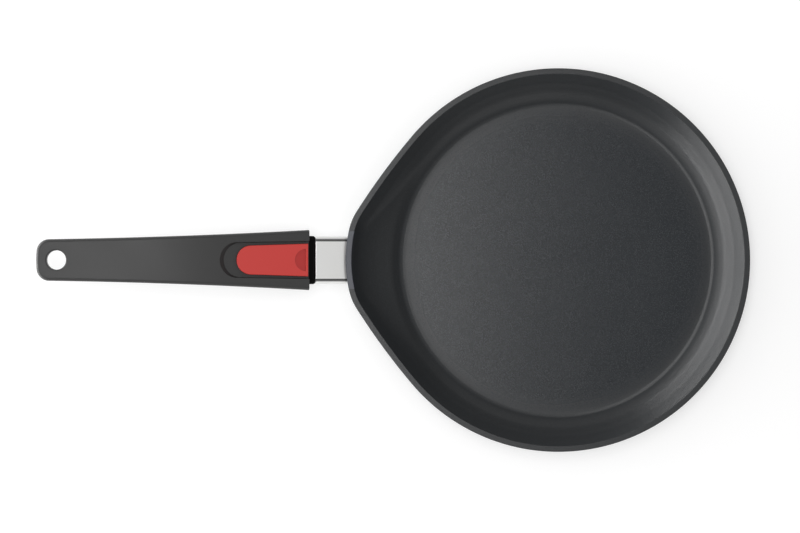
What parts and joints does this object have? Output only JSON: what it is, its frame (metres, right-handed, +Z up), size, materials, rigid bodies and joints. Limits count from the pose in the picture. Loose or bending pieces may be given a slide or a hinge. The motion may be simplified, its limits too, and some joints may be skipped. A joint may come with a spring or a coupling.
{
  "type": "crepe pan",
  "caption": "Low crepe pan with a drawn-out nose and a detachable handle that a spring-loaded sliding button releases.",
  "frame": {"origin": "centre of the pan's flat base, on the surface that it stands on", "axes": "+Z up out of the cooking floor; the nose and the handle point along -X; the part mirrors across Y = 0"},
  "size_m": [0.5175, 0.28, 0.056],
  "materials": {
    "coated_casting": "dark grey non-stick coating with a fine sparkle, satin",
    "stainless": "brushed along its length",
    "bar_steel": "rolled, plain",
    "screw_steel": "zinc plated, satin",
    "spring_steel": "tempered, oiled",
    "seal_black": "matt",
    "grip_moulding": "fine-grained matt moulding",
    "cartridge_plastic": "matt, glass filled",
    "carrier_plastic": "natural acetal, satin",
    "button_red": "satin moulding"
  },
  "bodies": {
    "pan": {"pan_body": "coated_casting", "neck_sleeve": "stainless", "tongue": "bar_steel", "lug_screws": "screw_steel"},
    "handle": {"grip": "grip_moulding", "mouth_seal": "seal_black", "socket_body": "cartridge_plastic", "slide_cover": "bar_steel", "cover_screws": "screw_steel", "socket_screws": "screw_steel", "anti_rattle_spring": "spring_steel", "catch_leaf": "spring_steel", "leaf_rivets": "screw_steel", "guide_rods": "bar_steel", "return_springs": "spring_steel"},
    "release_button": {"button_cap": "button_red", "slide_carrier": "carrier_plastic", "button_screws": "screw_steel"}
  },
  "joints": [
    {"name": "handle_slide", "type": "slide", "parent": "pan", "child": "handle", "axis": [-0.9781, 0, 0.2079], "range_m": [0, 0.045], "deforming": ["catch_leaf"]},
    {"name": "button_slide", "type": "slide", "parent": "handle", "child": "release_button", "axis": [-0.9781, 0, 0.2079], "range_m": [0, 0.008], "stiffness_N_per_m": 500, "springref_m": -0.003, "deforming": ["return_springs", "catch_leaf"]}
  ]
}
